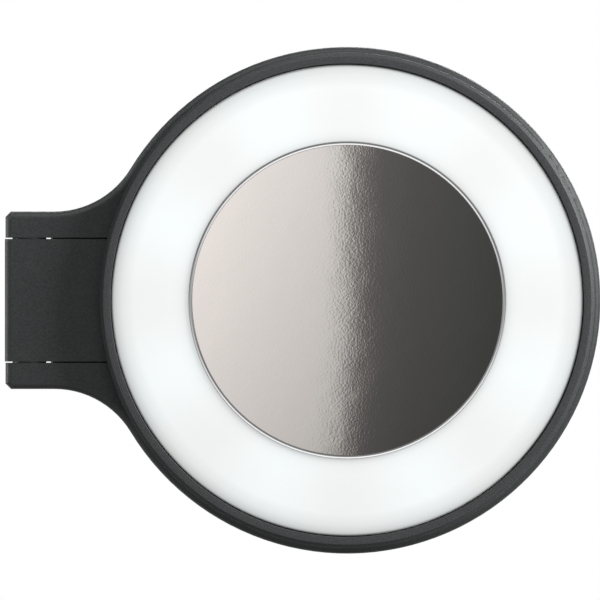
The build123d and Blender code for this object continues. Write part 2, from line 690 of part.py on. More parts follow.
with BuildPart() as bracket_screws:
    with BuildSketch(front(0.3)):
        with Locations(*BRACKET_SCREWS):
            Circle(3.5)
    extrude(amount=2.3)
    with BuildSketch(front(2.6)):
        with Locations(*BRACKET_SCREWS):
            Circle(1.93)
    extrude(amount=PLATE_T + BRACKET_BASE_T - 2.6 - 1.5)
    with BuildSketch(front(0.3)):
        with Locations(*BRACKET_SCREWS):
            RegularPolygon(1.4, 6)
    extrude(amount=1.4, mode=Mode.SUBTRACT)
save(bracket_screws, "bracket_screws")

with BuildPart() as rest_buffers:
    with BuildSketch(front(PLATE_T)):
        with Locations((-40, 9), (-40, -9)):
            Circle(4.5)
    extrude(amount=RAIL_BACK - PLATE_T - 0.3, taper=2)
    fillet(at_depth(rest_buffers.part, RAIL_BACK - 0.3), radius=1.0)
save(rest_buffers, "rest_buffers")
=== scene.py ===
"""Extendable shaving mirror: finishes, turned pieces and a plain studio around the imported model.

Written as an add-on and run as a script. Lengths are metres in the model's own frame: +Z is up, the wall
is the plane Y = 0 and the mirror faces -Y. A "depth" is a distance from the wall, so it is -Y.
"""

import math

import bpy
from bpy.props import FloatProperty, FloatVectorProperty, IntProperty, PointerProperty
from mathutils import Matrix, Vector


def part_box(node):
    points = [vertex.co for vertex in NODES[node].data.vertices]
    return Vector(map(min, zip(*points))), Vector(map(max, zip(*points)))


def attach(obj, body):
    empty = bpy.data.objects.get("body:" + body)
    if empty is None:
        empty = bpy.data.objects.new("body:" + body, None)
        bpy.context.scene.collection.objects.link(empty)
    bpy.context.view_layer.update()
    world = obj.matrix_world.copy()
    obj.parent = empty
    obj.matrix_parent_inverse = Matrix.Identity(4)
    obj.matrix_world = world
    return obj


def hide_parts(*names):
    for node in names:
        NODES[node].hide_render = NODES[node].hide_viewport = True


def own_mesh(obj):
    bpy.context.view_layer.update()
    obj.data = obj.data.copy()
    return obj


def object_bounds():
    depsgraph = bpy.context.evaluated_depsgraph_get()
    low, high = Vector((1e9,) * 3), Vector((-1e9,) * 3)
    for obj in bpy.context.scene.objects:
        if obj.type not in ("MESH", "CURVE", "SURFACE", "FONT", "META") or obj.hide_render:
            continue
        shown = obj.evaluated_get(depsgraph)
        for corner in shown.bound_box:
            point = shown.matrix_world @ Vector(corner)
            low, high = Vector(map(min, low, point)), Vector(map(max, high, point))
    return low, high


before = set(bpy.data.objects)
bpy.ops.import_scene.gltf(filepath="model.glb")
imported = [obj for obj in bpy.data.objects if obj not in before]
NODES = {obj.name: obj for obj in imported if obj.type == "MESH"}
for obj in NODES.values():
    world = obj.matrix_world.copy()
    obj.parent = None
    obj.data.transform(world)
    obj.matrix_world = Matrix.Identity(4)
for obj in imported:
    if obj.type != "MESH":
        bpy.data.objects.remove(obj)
CAD_BOX = [list(corner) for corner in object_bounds()]

bl_info = {
    "name": "Extendable Shaving Mirror",
    "version": (1, 0, 0),
    "blender": (4, 5, 0),
    "location": "3D View > Sidebar > Mirror",
    "description": "Makes the finishes and the studio of an extendable shaving mirror",
    "category": "Object",
}

MM = 0.001


def centre_of(node):
    """The middle of a node's box."""
    low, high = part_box(node)
    return (low + high) / 2


def radius_of(node):
    """Half the width of a round node that faces the front."""
    low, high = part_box(node)
    return (high.z - low.z) / 2


def depths_of(node):
    """The nearest and farthest distance of a node from the wall."""
    low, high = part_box(node)
    return -high.y, -low.y


HEAD_CENTRE = (centre_of("bezel_ring").x, 0.0, 0.0)
OPAL_INNER = 71.8 * MM  # radius of the opal ring's opening
RIM_INNER = 70.3 * MM  # radius of the polished rim's opening


# ---------------------------------------------------------------- settings


class CoatSettings(bpy.types.PropertyGroup):
    """The matte powder coat on the metal castings."""

    colour: FloatVectorProperty(
        name="Coat Colour", description="Colour of the powder coat", subtype="COLOR",
        default=(0.0418, 0.0449, 0.046), min=0.0, max=1.0,
    )
    roughness: FloatProperty(
        name="Roughness", description="Mean roughness of the coat", default=0.52, min=0.0, max=1.0,
        subtype="FACTOR",
    )
    grain: FloatProperty(
        name="Grain Size", description="Width of one grain of the coat", default=0.42 * MM,
        min=0.05 * MM, max=5 * MM, unit="LENGTH",
    )
    relief: FloatProperty(
        name="Grain Height", description="Height of the grain", default=0.05 * MM,
        min=0.0, max=1 * MM, unit="LENGTH",
    )


class LightRingSettings(bpy.types.PropertyGroup):
    """The opal ring round the mirror and the light behind it."""

    colour: FloatVectorProperty(
        name="Opal Colour", description="Colour of the opal plastic", subtype="COLOR",
        default=(0.20, 0.203, 0.203), min=0.0, max=1.0,
    )
    glow: FloatVectorProperty(
        name="Glow Colour", description="Colour of the light that comes through", subtype="COLOR",
        default=(0.985, 1.0, 0.99), min=0.0, max=1.0,
    )
    strength: FloatProperty(
        name="Glow Strength", description="Brightness of the ring's plateau", default=0.83,
        min=0.0, max=10.0,
    )
    lamps: IntProperty(
        name="Lamps", description="Number of lamps behind the ring", default=8, min=1, max=60,
    )
    # painted light: the glow is made stronger towards the top and right of the ring, where the studio's
    # lights fall
    painted_top_gain: FloatProperty(
        name="Upper Gain", description="How much brighter the ring is at its top than at its bottom",
        default=0.08, min=0.0, max=1.0, subtype="FACTOR",
    )
    lamp_contrast: FloatProperty(
        name="Lamp Contrast", description="How far a lamp shows through the opal plastic",
        default=0.045, min=0.0, max=1.0, subtype="FACTOR",
    )


class GlassSettings(bpy.types.PropertyGroup):
    """The silvered glass and its polished rim."""

    tint: FloatVectorProperty(
        name="Silver Tint", description="Colour of the silvering", subtype="COLOR",
        default=(0.93, 0.935, 0.93), min=0.0, max=1.0,
    )
    ripple: FloatProperty(
        name="Ripple Height", description="Height of the faint unevenness of the glass",
        default=0.0085 * MM, min=0.0, max=0.1 * MM, unit="LENGTH",
    )


class StageSettings(bpy.types.PropertyGroup):
    """The camera, the lights and the floor."""

    camera_distance: FloatProperty(
        name="Camera Distance", description="From the view plane to the camera", default=5.0,
        min=0.5, max=50.0, unit="LENGTH",
    )
    frame_width: FloatProperty(
        name="Frame Width", description="Width of the view in the view plane",
        default=0.2721, min=0.05, max=5.0, unit="LENGTH",
    )
    camera_raise: FloatProperty(
        name="Camera Raise", description="Height of the camera over the head's centre",
        default=0.11 * MM, min=-1.0, max=1.0, unit="LENGTH",
    )
    right_power: FloatProperty(
        name="Right Light", description="Power of the grazing light on the right", default=35.0,
        min=0.0, max=1000.0, unit="POWER",
    )
    top_power: FloatProperty(
        name="Top Light", description="Power of the light above", default=7.5, min=0.0,
        max=1000.0, unit="POWER",
    )
    left_power: FloatProperty(
        name="Left Light", description="Power of the light beside the arm's end", default=10.0,
        min=0.0, max=1000.0, unit="POWER",
    )
    back_power: FloatProperty(
        name="Back Light", description="Power of the light behind the wall plate", default=45.0,
        min=0.0, max=1000.0, unit="POWER",
    )
    room_light: FloatProperty(
        name="Room Light", description="Brightness of the white room", default=0.08, min=0.0,
        max=10.0,
    )
    floor_drop: FloatProperty(
        name="Floor Drop", description="From the origin down to the floor", default=0.42,
        min=0.13, max=3.0, unit="LENGTH",
    )


SETTINGS = {
    "mirror_coat": CoatSettings,
    "mirror_light_ring": LightRingSettings,
    "mirror_glass": GlassSettings,
    "mirror_stage": StageSettings,
}


# ---------------------------------------------------------------- meshes


def arc(centre, radius, start, end, steps):
    """Points on an arc in a turned profile. Angles are in degrees, 0 outwards and 90 to the front."""
    points = []
    for step in range(steps + 1):
        angle = math.radians(start + (end - start) * step / steps)
        points.append((centre[0] + radius * math.cos(angle), centre[1] + radius * math.sin(angle)))
    return points


def smooth_piece(name, vertices, faces, place, sharp):
    """An object from vertices and faces, shaded smooth but for edges of more than sharp degrees."""
    mesh = bpy.data.meshes.new(name)
    mesh.from_pydata(vertices, [], faces)
    mesh.update()
    mesh.validate()
    mesh.shade_smooth()
    mesh.set_sharp_from_angle(angle=math.radians(sharp))
    piece = bpy.data.objects.new(name, mesh)
    bpy.context.scene.collection.objects.link(piece)
    piece.location = place
    return piece


def turned(name, profile, closed=True):
    """A piece turned round the head's axis from (radius, depth) points. Its origin is the head's centre."""
    segments = 384
    vertices, faces, rings = [], [], []
    for radius, depth in profile:
        if radius == 0.0:
            rings.append([len(vertices)])
            vertices.append((0.0, -depth, 0.0))
            continue
        ring = []
        for step in range(segments):
            angle = 2 * math.pi * step / segments
            ring.append(len(vertices))
            vertices.append((radius * math.cos(angle), -depth, radius * math.sin(angle)))
        rings.append(ring)
    pairs = list(zip(rings, rings[1:]))
    if closed:
        pairs.append((rings[-1], rings[0]))
    for a, b in pairs:
        for step in range(segments):
            after = (step + 1) % segments
            if len(a) == 1:
                faces.append((a[0], b[after], b[step]))
            elif len(b) == 1:
                faces.append((a[step], a[after], b[0]))
            else:
                faces.append((a[step], a[after], b[after], b[step]))
    return smooth_piece(name, vertices, faces, HEAD_CENTRE, 35)


def coil_spring(name, node, wire, turns):
    """A wire spring along Y that fills a node's box, one turn closed up at each end. Wire is its radius."""
    low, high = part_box(node)
    middle = centre_of(node)
    coil_radius = (high.x - low.x) / 2 - wire
    closed_turns = 1.0
    closed_pitch = 2.1 * wire
    open_length = high.y - low.y - 2 * wire - 2 * closed_turns * closed_pitch
    steps, sides = 48, 12
    vertices, faces = [], []
    for step in range(int(turns * steps) + 1):
        turn = step / steps
        first = min(turn, closed_turns)
        last = max(0.0, turn - (turns - closed_turns))
        opened = (turn - first - last) / (turns - 2 * closed_turns)
        along = low.y + wire + (first + last) * closed_pitch + opened * open_length - middle.y
        angle = 2 * math.pi * turn
        for side in range(sides):
            round_wire = 2 * math.pi * side / sides
            reach = coil_radius + wire * math.cos(round_wire)
            y = along + wire * math.sin(round_wire)
            vertices.append((reach * math.cos(angle), y, reach * math.sin(angle)))
    rings = len(vertices) // sides
    for ring in range(rings - 1):
        here, there = ring * sides, (ring + 1) * sides
        for side in range(sides):
            after = (side + 1) % sides
            faces.append((here + side, here + after, there + after, there + side))
    faces.append(tuple(range(sides))[::-1])
    faces.append(tuple(range((rings - 1) * sides, rings * sides)))
    return smooth_piece(name, vertices, faces, middle, 50)


def finish_piece(piece, material, node):
    """Gives a piece of the head its material, hangs it on the head's body and hides the CAD node that it
    stands for.
    """
    piece.data.materials.append(material)
    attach(piece, "head")
    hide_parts(node)


# ---------------------------------------------------------------- material helpers


class Wiring:
    """A short way to write nodes. Most methods add one or more and return an output."""

    def __init__(self, tree, place="Object"):
        tree.nodes.clear()
        self.tree = tree
        self.place = self.node("ShaderNodeTexCoord").outputs[place]

    def node(self, kind, sockets=None, **options):
        """Adds a node, feeds its sockets and returns the node itself."""
        made = self.tree.nodes.new(kind)
        for key, value in options.items():
            setattr(made, key, value)
        for key, value in (sockets or {}).items():
            self.feed(made.inputs[key], value)
        return made

    def feed(self, socket, value):
        """Links an output to a socket, or sets a plain value on it."""
        if isinstance(value, bpy.types.NodeSocket):
            self.tree.links.new(value, socket)
        elif socket.type == "RGBA" and len(value) == 3:
            socket.default_value = (*value, 1.0)
        else:
            socket.default_value = value

    def math(self, operation, a, b=0.0):
        return self.node("ShaderNodeMath", {0: a, 1: b}, operation=operation).outputs[0]

    def vector(self, operation, a, b):
        """The vector result of an operation on two vectors."""
        return self.node("ShaderNodeVectorMath", {0: a, 1: b}, operation=operation).outputs[0]

    def scaled(self, vector, factor):
        sockets = {0: vector, "Scale": factor}
        return self.node("ShaderNodeVectorMath", sockets, operation="SCALE").outputs[0]

    def split(self, vector):
        """The X, Y and Z outputs of a vector."""
        return self.node("ShaderNodeSeparateXYZ", {0: vector}).outputs

    def noise(self, size, detail=2.0, roughness=0.5, stretch=(1.0, 1.0, 1.0)):
        """Noise whose features are about size metres wide."""
        place = self.vector("MULTIPLY", self.place, stretch)
        scale = 0.6 / size  # at scale 1 a feature is about 0.6 m wide
        sockets = {"Vector": place, "Scale": scale, "Detail": detail, "Roughness": roughness}
        return self.node("ShaderNodeTexNoise", sockets).outputs["Fac"]

    def remap(self, value, low, high, to_low, to_high):
        sockets = {"Value": value, "From Min": low, "From Max": high, "To Min": to_low, "To Max": to_high}
        return self.node("ShaderNodeMapRange", sockets, clamp=True).outputs["Result"]

    def ramp(self, value, stops):
        """A colour or grey for a value, from (position, colour or grey) stops."""
        made = self.node("ShaderNodeValToRGB", {"Fac": value})
        elements = made.color_ramp.elements
        while len(elements) < len(stops):
            elements.new(0.5)
        for element, (position, colour) in zip(elements, stops):
            element.position = position
            grey = (colour, colour, colour) if isinstance(colour, float) else colour
            element.color = (*grey, 1.0)
        return made.outputs["Color"]

    def mix(self, factor, a, b):
        """A blend of two colours, which are the mix node's sockets 6 and 7."""
        made = self.node("ShaderNodeMix", data_type="RGBA")
        for key, value in ((0, factor), (6, a), (7, b)):
            self.feed(made.inputs[key], value)
        return made.outputs[2]

    def mix_shaders(self, factor, a, b):
        return self.node("ShaderNodeMixShader", {0: factor, 1: a, 2: b}).outputs[0]

    def background(self, colour, strength=1.0):
        sockets = {"Color": colour, "Strength": strength}
        return self.node("ShaderNodeBackground", sockets).outputs[0]

    def bump(self, height, distance, base=None):
        sockets = {"Height": height, "Distance": distance}
        if base is not None:
            sockets["Normal"] = base
        return self.node("ShaderNodeBump", sockets).outputs["Normal"]

    def radius(self):
        """Length of the place's X and Z part: how far a place or a direction is from the head's axis."""
        flat = self.vector("MULTIPLY", self.place, (1.0, 0.0, 1.0))
        return self.node("ShaderNodeVectorMath", {0: flat}, operation="LENGTH").outputs["Value"]


class Shader(Wiring):
    """A node material with one principled surface."""

    def __init__(self, name):
        self.material = bpy.data.materials.new(name)
        self.material.use_nodes = True
        super().__init__(self.material.node_tree)
        self.bsdf = self.node("ShaderNodeBsdfPrincipled")
        self.output = self.node("ShaderNodeOutputMaterial", {"Surface": self.bsdf.outputs[0]})

    def set(self, **values):
        """Sets the surface's own sockets, by name with _ for a space."""
        for key, value in values.items():
            self.feed(self.bsdf.inputs[key.replace("_", " ")], value)


def shade(colour, factor):
    """A colour made lighter or darker."""
    return tuple(min(1.0, channel * factor) for channel in colour)


# ---------------------------------------------------------------- materials


def powder_coat(name, painted_lightness=1.0):
    """Matte black powder coat: fine grain with paler tips, and faint clouds of gloss."""
    coat = bpy.context.scene.mirror_coat
    s = Shader(name)
    grain = s.noise(coat.grain, detail=3.0, roughness=0.62)
    fine = s.noise(coat.grain * 0.45, detail=1.0)
    cloud = s.noise(28 * MM, detail=3.0)
    height = s.math("ADD", s.math("MULTIPLY", grain, 0.7), s.math("MULTIPLY", fine, 0.3))
    speck = s.remap(grain, 0.36, 0.66, 0.0, 1.0)
    contrast = 0.34
    # a lightness above 1 paints light into the coat's colour
    low, high = (shade(coat.colour, painted_lightness * (1 + sign * contrast)) for sign in (-1, 1))
    s.set(Base_Color=s.mix(speck, low, high))
    s.set(Roughness=s.math("ADD", s.remap(cloud, 0.3, 0.7, -0.04, 0.04), coat.roughness))
    s.set(IOR=1.48, Specular_IOR_Level=0.5)
    s.set(Normal=s.bump(height, coat.relief))
    return s.material


def opal_plastic():
    """Satin opal plastic, lit from behind by a ring of lamps, dimmer beside its two edges partly by painted
    shade, and with painted light that makes it brighter towards its upper right.
    """
    ring = bpy.context.scene.mirror_light_ring
    outer = radius_of("diffuser_ring")
    s = Shader("opal_light_ring")
    place = s.split(s.place)
    angle = s.math("ARCTAN2", place["Z"], place["X"])
    # from -1 over a lamp to 1 halfway between two lamps
    wave = s.math("COSINE", s.math("MULTIPLY", angle, float(ring.lamps)))
    share = s.remap(s.radius(), OPAL_INNER, outer, 0.0, 1.0)
    # the glow dims beside the rim and the bezel: partly the light guide's own fall-off, partly painted
    # shade from those raised edges
    body = s.ramp(share, [
        (0.0, 0.62), (0.022, 0.82), (0.049, 0.88), (0.088, 0.95), (0.154, 0.985), (0.25, 1.0),
        (0.72, 1.0), (0.878, 0.86), (0.945, 0.74), (0.985, 0.62), (1.0, 0.3),
    ])
    spread = s.ramp(share, [(0.0, 0.6), (0.35, 1.0), (0.7, 0.9), (1.0, 0.1)])
    lamp = s.math("MULTIPLY", s.math("MULTIPLY", wave, -ring.lamp_contrast), spread)
    cloud = s.remap(s.noise(9 * MM), 0.3, 0.7, -0.006, 0.006)
    # painted light: the glow grows towards the upper right, the side the lights come from
    painted_light_direction = (0.4, 0.0, 0.9)
    slope = s.node("ShaderNodeVectorMath", {0: s.place, 1: painted_light_direction}, operation="DOT_PRODUCT")
    rise = s.remap(slope.outputs["Value"], -outer, outer, 1.0 - ring.painted_top_gain, 1.0)
    level = s.math("MULTIPLY", body, s.math("ADD", s.math("ADD", lamp, rise), cloud))
    lamp_glow = (0.95, 1.0, 1.0)
    s.set(Base_Color=ring.colour, Roughness=0.42, IOR=1.49)
    s.set(Emission_Color=s.mix(s.remap(wave, -1.0, 1.0, 1.0, 0.0), ring.glow, lamp_glow))
    s.set(Emission_Strength=s.math("MULTIPLY", level, ring.strength))
    s.set(Normal=s.bump(s.noise(0.5 * MM), 0.006 * MM))
    return s.material


def silvered_glass():
    """Second-surface mirror: a clean reflection with the faint ripple of pressed glass."""
    glass = bpy.context.scene.mirror_glass
    s = Shader("silvered_glass")
    ripple = s.noise(0.55 * MM, detail=1.0)
    sway = s.bump(s.noise(14 * MM), 0.045 * MM)
    smear = s.remap(s.noise(22 * MM, detail=4.0), 0.45, 0.75, 0.0, 0.02)
    s.set(Base_Color=glass.tint, Metallic=1.0, Roughness=smear)
    s.set(Normal=s.bump(ripple, glass.ripple, base=sway))
    return s.material


def polished_metal():
    """Bright polished metal whose gloss is faintly uneven."""
    s = Shader("polished_rim")
    haze = s.noise(0.25 * MM)
    s.set(Base_Color=(0.86, 0.86, 0.86), Metallic=1.0)
    s.set(Roughness=s.remap(haze, 0.3, 0.7, 0.06, 0.12))
    s.set(Normal=s.bump(haze, 0.0004 * MM))
    return s.material


def moulded(name, colour, roughness, grain=0.4 * MM, relief=0.02 * MM):
    """Moulded plastic with a spark-eroded grain and soft variation of tone and gloss."""
    s = Shader(name)
    texture = s.noise(grain, detail=2.5, roughness=0.6)
    cloud = s.noise(18 * MM, detail=3.0)
    tone = s.mix(s.remap(cloud, 0.3, 0.7, 0.0, 1.0), shade(colour, 0.9), shade(colour, 1.1))
    s.set(Base_Color=tone, Roughness=s.remap(cloud, 0.3, 0.7, roughness - 0.05, roughness + 0.05))
    s.set(Normal=s.bump(texture, relief))
    return s.material


def two_tone_tray():
    """White inside to throw the light forward, and sprayed black on the back, which the channel shows."""
    back = -depths_of("reflector_tray")[0]
    s = Shader("two_tone_tray")
    drift = s.remap(s.noise(3 * MM, detail=3.0), 0.3, 0.7, 0.0, 0.2 * MM)
    overspray = s.math("ADD", s.split(s.place)["Y"], drift)
    sprayed = s.remap(overspray, back - 0.6 * MM, back - 0.3 * MM, 0.0, 1.0)
    s.set(Base_Color=s.mix(sprayed, (0.85, 0.85, 0.84), (0.03, 0.031, 0.033)))
    s.set(Roughness=s.remap(sprayed, 0.0, 1.0, 0.25, 0.5))
    s.set(Normal=s.bump(s.noise(0.4 * MM, detail=2.5), 0.012 * MM))
    return s.material


def bare_metal(name, colour, roughness, stretch=(1.0, 1.0, 30.0), size=6 * MM):
    """Metal with fine lines across the direction that stretch is largest in, a little dull in patches."""
    s = Shader(name)
    line = s.noise(size, detail=4.0, stretch=stretch)
    patch = s.noise(9 * MM, detail=3.0)
    tone = s.mix(s.remap(patch, 0.3, 0.75, 0.0, 1.0), colour, shade(colour, 0.78))
    s.set(Base_Color=tone, Metallic=1.0)
    s.set(Roughness=s.remap(line, 0.3, 0.7, roughness - 0.06, roughness + 0.08))
    s.set(Normal=s.bump(line, 0.004 * MM))
    return s.material


def circuit():
    """Green solder mask over faint copper tracks."""
    s = Shader("solder_mask")
    brick = s.node("ShaderNodeTexBrick", {"Vector": s.place, "Scale": 260.0, "Mortar Size": 0.03})
    tracks = brick.outputs["Fac"]
    s.set(Base_Color=s.mix(tracks, (0.015, 0.11, 0.05), (0.03, 0.2, 0.09)), Roughness=0.3)
    s.set(Normal=s.bump(tracks, 0.03 * MM))
    return s.material


def phosphor():
    """Yellow phosphor lens of a lamp, faintly lit."""
    s = Shader("lamp_phosphor")
    spot = s.noise(0.4 * MM)
    tone = s.mix(spot, (0.9, 0.75, 0.25), (1.0, 0.9, 0.45))
    s.set(Base_Color=tone, Roughness=0.35, Emission_Color=(1.0, 0.95, 0.8), Emission_Strength=1.0)
    return s.material


def dress(material, *nodes):
    """Gives CAD nodes a material in all their slots."""
    for node in nodes:
        mesh = NODES[node].data
        mesh.materials.clear()
        mesh.materials.append(material)


# ---------------------------------------------------------------- pieces


class MIRROR_OT_coated_castings(bpy.types.Operator):
    """Coat the shell, the arm, the wall plate and the bracket"""

    bl_idname = "mirror.coated_castings"
    bl_label = "Coated Castings"

    def execute(self, context):
        coat = powder_coat("black_powder_coat")
        dress(coat, "head_shell", "arm_slider", "arm_rail", "wall_plate", "hinge_bracket")

        back, front = depths_of("bezel_ring")
        outer = radius_of("bezel_ring")
        inner = outer - 4.9 * MM
        wall = 1.6 * MM
        lip, lip_depth = 1.4 * MM, front - 2.2 * MM
        # a bevel with two softened edges outside, and a small round inside
        bevel, soft, small = 1.7 * MM, 0.5 * MM, 0.22 * MM
        profile = [(outer - wall, back), (outer, back)]
        profile += arc((outer - soft, front - bevel), soft, 0, 45, 5)
        profile += arc((outer - bevel, front - soft), soft, 45, 90, 5)
        profile += arc((inner + small, front - small), small, 90, 180, 6)
        profile += [(inner, lip_depth), (inner + lip, lip_depth)]
        profile += [(inner + lip, front - wall), (outer - wall, front - wall)]
        bezel = turned("bezel", profile)
        # painted light: the bezel gets the castings' coat a little paler, for the light that falls on its
        # face and not on the arm's
        finish_piece(bezel, powder_coat("bezel_coat_painted_lighter", 1.4), "bezel_ring")
        return {"FINISHED"}


class MIRROR_OT_light_ring(bpy.types.Operator):
    """Make the opal light ring with its soft shoulder"""

    bl_idname = "mirror.light_ring"
    bl_label = "Light Ring"

    def execute(self, context):
        back, front = depths_of("diffuser_ring")
        outer = radius_of("diffuser_ring")
        foot, small = 0.2 * MM, 0.3 * MM
        profile = [(OPAL_INNER, back), (outer - foot, back), (outer, back + foot)]
        # the shoulder is a quarter of an ellipse
        width, drop, steps = 5.5 * MM, 1.5 * MM, 12
        for step in range(steps + 1):
            turn = math.radians(90 * step / steps)
            radius = outer - width + width * math.cos(turn)
            profile.append((radius, front - drop + drop * math.sin(turn)))
        profile += arc((OPAL_INNER + small, front - small), small, 90, 180, 5)
        ring = turned("light_ring", profile)
        finish_piece(ring, opal_plastic(), "diffuser_ring")
        return {"FINISHED"}


class MIRROR_OT_mirror_glass(bpy.types.Operator):
    """Make the concave glass and its polished rim"""

    bl_idname = "mirror.mirror_glass"
    bl_label = "Mirror Glass"

    def execute(self, context):
        back, edge = depths_of("mirror_glass")
        outer = radius_of("mirror_glass")
        dish, bevel = 2.7 * MM, 0.15 * MM
        ball = (outer**2 / dish + dish) / 2  # radius of the ball that the glass is a cap of
        profile = [(0.0, back), (outer, back), (outer, edge - bevel)]
        steps = 48
        for step in range(steps + 1):
            radius = (outer - bevel) * (1 - step / steps)
            sag = ball - math.sqrt(ball**2 - radius**2)
            profile.append((radius, edge - dish + sag))
        glass = turned("concave_glass", profile, closed=False)
        finish_piece(glass, silvered_glass(), "mirror_glass")

        back, front = depths_of("mirror_trim_ring")
        outer = radius_of("mirror_trim_ring")
        # a low ridge of two facets that slope 18 degrees
        fall = (outer - RIM_INNER) / 2 * math.tan(math.radians(18))
        profile = [(RIM_INNER, back), (outer, back), (outer, front - fall)]
        profile += [((RIM_INNER + outer) / 2, front), (RIM_INNER, front - fall)]
        rim = turned("polished_rim", profile)
        finish_piece(rim, polished_metal(), "mirror_trim_ring")
        return {"FINISHED"}


class MIRROR_OT_plastics(bpy.types.Operator):
    """Finish the covers, caps, tray and bearing pieces"""

    bl_idname = "mirror.plastics"
    bl_label = "Plastic Pieces"

    def execute(self, context):
        black = moulded("black_moulding", (0.032, 0.033, 0.035), 0.5)
        dress(black, "upper_back_cover", "lower_back_cover", "mirror_carrier")
        dress(black, "slider_end_cap", "rail_end_stop", "head_hinge_caps", "wall_hinge_caps")
        bearing = moulded("dark_acetal", (0.010, 0.007, 0.010), 0.42, relief=0.008 * MM)
        dress(bearing, "slider_runner", "glide_strips", "head_hinge_washers", "wall_hinge_washers")
        dress(two_tone_tray(), "reflector_tray")
        dress(moulded("battery_film", (0.03, 0.08, 0.22), 0.3, grain=2 * MM), "battery_pack")
        dress(moulded("switch_black", (0.06, 0.06, 0.06), 0.4), "button_switch")
        rubber = moulded("soft_rubber", (0.03, 0.03, 0.031), 0.72, grain=0.25 * MM)
        dress(rubber, "power_button", "rest_buffers")
        return {"FINISHED"}


class MIRROR_OT_metal_hardware(bpy.types.Operator):
    """Finish the pins, bushes, springs, nuts, screws and the socket"""

    bl_idname = "mirror.metal_hardware"
    bl_label = "Metal Hardware"

    def execute(self, context):
        ground = bare_metal("ground_pin", (0.6, 0.6, 0.61), 0.22, (1.0, 1.0, 0.05))
        dress(ground, "head_hinge_pin", "wall_hinge_pin")
        even = (1.0, 1.0, 1.0)
        bronze = bare_metal("sintered_bronze", (0.5, 0.33, 0.17), 0.42, even, 0.5 * MM)
        dress(bronze, "head_hinge_bushes", "wall_hinge_bushes")
        steel = bare_metal("spring_wire", (0.5, 0.5, 0.52), 0.3)
        dress(steel, "head_disc_springs", "wall_disc_springs")
        zinc = bare_metal("bright_zinc", (0.66, 0.67, 0.66), 0.32)
        dress(zinc, "head_hinge_nut", "wall_hinge_nut", "bracket_screws", "tray_screws")
        dress(bare_metal("black_oxide", (0.05, 0.05, 0.055), 0.42), "cover_screws", "runner_screws")
        dress(bare_metal("satin_nickel", (0.62, 0.61, 0.58), 0.3), "charge_port")

        coil = coil_spring("return_spring", "button_spring", 0.3 * MM, 4.5)
        finish_piece(coil, steel, "button_spring")
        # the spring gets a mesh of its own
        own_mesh(coil)
        return {"FINISHED"}


class MIRROR_OT_electronics(bpy.types.Operator):
    """Finish the boards and the lamps"""

    bl_idname = "mirror.electronics"
    bl_label = "Electronics"

    def execute(self, context):
        dress(circuit(), "control_board", "led_board")
        dress(phosphor(), "leds")
        return {"FINISHED"}


# ---------------------------------------------------------------- stage


def area_light(name, place, target, size, power, passed_over):
    """A soft rectangular light that points at a target and leaves some pieces unlit."""
    data = bpy.data.lights.new(name, "AREA")
    data.shape = "RECTANGLE"
    data.size, data.size_y = size
    data.energy = power
    light = bpy.data.objects.new(name, data)
    bpy.context.scene.collection.objects.link(light)
    light.location = place
    aim = Vector(target) - Vector(place)
    light.rotation_mode = "QUATERNION"
    light.rotation_quaternion = aim.to_track_quat("-Z", "Y")

    unlit = bpy.data.collections.new(f"not_lit_by_{name}")
    for piece in passed_over:
        unlit.objects.link(bpy.data.objects[piece])
    for entry in unlit.collection_objects:
        entry.light_linking.link_state = "EXCLUDE"
    light.light_linking.receiver_collection = unlit


def studio_world(room_light):
    """A white room. In reflections it has a bright right, a dark left, a pale table and a grey ceiling."""
    world = bpy.data.worlds.new("studio")
    bpy.context.scene.world = world
    world.use_nodes = True
    w = Wiring(world.node_tree, "Generated")
    heading = w.split(w.place)
    side, height = heading["X"], heading["Z"]

    # straight ahead of the head: a soft screen beside a dark corner, whose edge leans as it rises
    rise = w.math("MAXIMUM", height, 0.0)
    lean = w.math("MULTIPLY", w.math("MULTIPLY", rise, rise), 0.55)
    across = w.remap(w.math("SUBTRACT", side, lean), -0.5, 0.5, 0.0, 1.0)
    screen = w.ramp(across, [
        (0.00, (0.42, 0.42, 0.43)), (0.22, (0.10, 0.10, 0.10)), (0.36, (0.048, 0.050, 0.046)),
        (0.446, (0.075, 0.072, 0.070)), (0.478, (0.096, 0.090, 0.088)), (0.489, (0.137, 0.123, 0.12)),
        (0.500, (0.287, 0.270, 0.257)), (0.511, (0.53, 0.505, 0.48)), (0.524, (0.617, 0.583, 0.557)),
        (0.64, (0.82, 0.76, 0.73)), (1.00, (0.85, 0.80, 0.79)),
    ])
    ahead = w.scaled(screen, w.remap(height, -0.4, 0.4, 1.48, 0.52))

    # all round it: a pale table, a dim ceiling, and walls that are darker far to the sides
    bands = w.ramp(w.remap(height, -1.0, 1.0, 0.0, 1.0), [
        (0.0, 0.35), (0.1, 0.5), (0.19, 1.1), (0.38, 0.9), (0.5, 0.5), (0.6, 0.25), (1.0, 0.2),
    ])
    around = w.scaled(bands, w.remap(w.math("ABSOLUTE", side), 0.45, 0.8, 1.0, 0.45))
    mirrored = w.background(w.mix(w.remap(w.radius(), 0.22, 0.45, 0.0, 1.0), ahead, around))

    white = (1.0, 1.0, 1.0)
    rays = w.node("ShaderNodeLightPath").outputs
    bounced = w.mix_shaders(rays["Is Glossy Ray"], w.background(white, room_light), mirrored)
    shown = w.mix_shaders(rays["Is Camera Ray"], bounced, w.background(white))
    w.node("ShaderNodeOutputWorld", {"Surface": shown})


def pale_floor():
    """Pale matt board that is clear from below."""
    s = Shader("pale_floor")
    tone = s.mix(s.noise(60 * MM, detail=3.0), (0.84, 0.84, 0.835), (0.88, 0.88, 0.875))
    s.set(Base_Color=tone, Roughness=0.8, Emission_Color=(1.0, 1.0, 0.995), Emission_Strength=0.62)
    clear = s.node("ShaderNodeBsdfTransparent").outputs[0]
    below = s.node("ShaderNodeNewGeometry").outputs["Backfacing"]
    s.feed(s.output.inputs["Surface"], s.mix_shaders(below, s.bsdf.outputs[0], clear))
    return s.material


